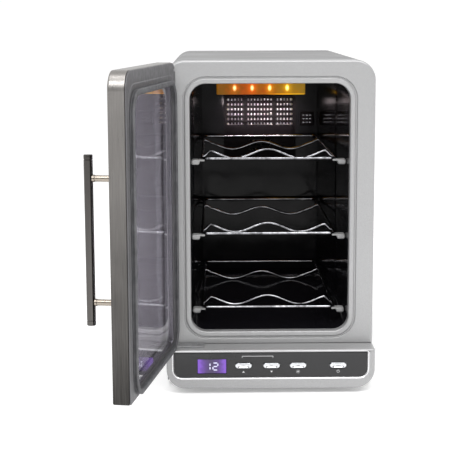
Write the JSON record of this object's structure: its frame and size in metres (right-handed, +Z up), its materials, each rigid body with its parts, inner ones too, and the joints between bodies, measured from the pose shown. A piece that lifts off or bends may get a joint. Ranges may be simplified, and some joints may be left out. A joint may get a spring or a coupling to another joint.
{
  "type": "wine cooler",
  "caption": "Counter-top thermoelectric wine cooler with a hinged glass door, bar handle, sliding wire bottle shelves, light bar and a front control panel",
  "frame": {"origin": "middle of the base pan's underside; the feet reach 7 mm below it", "axes": "+X to the right as seen from the door side, +Y from the door side to the rear, +Z up"},
  "size_m": [0.3462, 0.7406, 0.4255],
  "materials": {
    "silver_sheet": "satin",
    "silver_paint": "satin silver paint on moulded plastic",
    "door_steel": "brushed",
    "black_liner": "gloss",
    "foam": "rigid foam",
    "black_plastic": "matte",
    "rubber_feet": "matte",
    "gasket_rubber": "matte",
    "peg_white": "satin",
    "fascia_black": "gloss",
    "display_violet": "lit display lens",
    "circuit_board": "circuit board",
    "button_metal": "polished",
    "amber_cover": "translucent amber",
    "led_orange": "clear, lit",
    "aluminium": "mill finish",
    "ceramic": "matte",
    "chrome_wire": "polished",
    "hinge_steel": "plated",
    "door_grey": "satin dark grey",
    "smoked_glass": "smoked, polished",
    "handle_steel": "polished dark steel",
    "bush_nylon": "nylon"
  },
  "bodies": {
    "cabinet": {"outer_wrap": "silver_sheet", "base_pan": "silver_sheet", "front_frame": "silver_paint", "liner": "black_liner", "insulation": "foam", "rear_cover": "silver_sheet", "foot_front_left": "rubber_feet", "foot_front_right": "rubber_feet", "foot_rear_left": "rubber_feet", "foot_rear_right": "rubber_feet", "shelf_peg_lower_left": "peg_white", "shelf_peg_lower_right": "peg_white", "shelf_peg_middle_left": "peg_white", "shelf_peg_middle_right": "peg_white", "shelf_peg_upper_left": "peg_white", "shelf_peg_upper_right": "peg_white", "control_housing": "silver_paint", "control_fascia": "fascia_black", "display_window": "display_violet", "control_board": "circuit_board", "light_cover": "amber_cover", "light_board": "circuit_board", "led_1": "led_orange", "led_2": "led_orange", "led_3": "led_orange", "led_4": "led_orange", "air_grille": "black_plastic", "sensor_cover": "black_plastic", "cold_sink": "aluminium", "peltier_module": "ceramic", "hot_sink": "aluminium", "inner_fan_frame": "black_plastic", "rear_fan_frame": "black_plastic", "fan_guard": "chrome_wire", "power_board": "circuit_board", "mains_inlet": "black_plastic", "hinge_bracket_bottom": "hinge_steel", "hinge_bracket_top": "hinge_steel", "hinge_screw": "hinge_steel"},
    "door": {"door_frame": "door_steel", "door_inner_frame": "door_grey", "outer_glass": "smoked_glass", "inner_glass": "smoked_glass", "glass_spacer": "aluminium", "door_gasket": "gasket_rubber", "handle_bar": "handle_steel", "handle_post_upper": "handle_steel", "handle_post_lower": "handle_steel", "hinge_bush_bottom": "bush_nylon", "hinge_bush_top": "bush_nylon"},
    "upper_shelf": {"shelf_upper": "chrome_wire"},
    "middle_shelf": {"shelf_middle": "chrome_wire"},
    "lower_shelf": {"shelf_lower": "chrome_wire"},
    "up_key": {"button_up": "button_metal"},
    "down_key": {"button_down": "button_metal"},
    "light_key": {"button_light": "button_metal"},
    "power_key": {"button_power": "button_metal"},
    "inner_rotor": {"inner_fan_rotor": "black_plastic"},
    "rear_rotor": {"rear_fan_rotor": "black_plastic"}
  },
  "joints": [
    {"name": "door_hinge", "type": "hinge", "parent": "cabinet", "child": "door", "pos_m": [-0.13107, -0.24765, 0.236], "axis": [0, 0, -1], "range_deg": [-99.5, 9.5]},
    {"name": "lower_shelf_slide", "type": "slide", "parent": "cabinet", "child": "lower_shelf", "axis": [0, -1, 0], "range_m": [0, 0.25]},
    {"name": "middle_shelf_slide", "type": "slide", "parent": "cabinet", "child": "middle_shelf", "axis": [0, -1, 0], "range_m": [0, 0.25]},
    {"name": "upper_shelf_slide", "type": "slide", "parent": "cabinet", "child": "upper_shelf", "axis": [0, -1, 0], "range_m": [0, 0.25]},
    {"name": "up_press", "type": "slide", "parent": "cabinet", "child": "up_key", "axis": [0, 1, 0], "range_m": [0, 0.0012], "stiffness_N_per_m": 600},
    {"name": "down_press", "type": "slide", "parent": "cabinet", "child": "down_key", "axis": [0, 1, 0], "range_m": [0, 0.0012], "stiffness_N_per_m": 600},
    {"name": "light_press", "type": "slide", "parent": "cabinet", "child": "light_key", "axis": [0, 1, 0], "range_m": [0, 0.0012], "stiffness_N_per_m": 600},
    {"name": "power_press", "type": "slide", "parent": "cabinet", "child": "power_key", "axis": [0, 1, 0], "range_m": [0, 0.0012], "stiffness_N_per_m": 600},
    {"name": "inner_fan_spin", "type": "hinge", "parent": "cabinet", "child": "inner_rotor", "pos_m": [0, 0.1495, 0.281], "axis": [0, 1, 0], "continuous": true},
    {"name": "rear_fan_spin", "type": "hinge", "parent": "cabinet", "child": "rear_rotor", "pos_m": [0, 0.206, 0.326], "axis": [0, 1, 0], "continuous": true}
  ]
}
